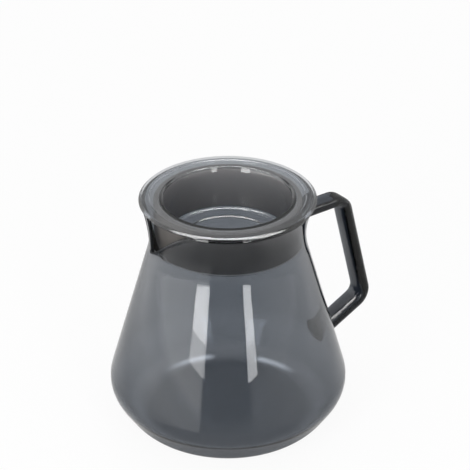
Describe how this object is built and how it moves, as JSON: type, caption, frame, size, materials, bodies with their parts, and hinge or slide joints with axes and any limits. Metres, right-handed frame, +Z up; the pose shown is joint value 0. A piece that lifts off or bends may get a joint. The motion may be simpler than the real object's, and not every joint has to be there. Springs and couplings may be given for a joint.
{
  "type": "glass coffee pot",
  "caption": "Smoke-grey glass coffee pot: conical body with a V pouring lip, fused bar handle, and a lift-out hollow glass lid with a silicone seal.",
  "frame": {"origin": "middle of the flat base, on the surface that the pot stands on", "axes": "+Z up along the pot's axis, +X towards the handle, -X towards the pouring lip"},
  "size_m": [0.1502, 0.12, 0.1243],
  "materials": {
    "smoke_glass": "clear smoke-grey blown glass, fire polished",
    "handle_glass": "the same smoke-grey glass, solid, so it reads nearly black",
    "lid_glass": "pressed glass with a paler grey tint than the body, polished",
    "silicone": "translucent brown-grey silicone, satin"
  },
  "bodies": {
    "pot": {"glass_body": "smoke_glass", "handle": "handle_glass"},
    "seal": {"lid_seal": "silicone"},
    "lid": {"lid": "lid_glass"}
  },
  "joints": [
    {"name": "lid_lift", "type": "slide", "parent": "pot", "child": "seal", "axis": [0, 0, 1], "range_m": [0, 0.06]},
    {"name": "lid_turn", "type": "hinge", "parent": "seal", "child": "lid", "pos_m": [0, 0, 0.11], "axis": [0, 0, 1], "continuous": true}
  ]
}
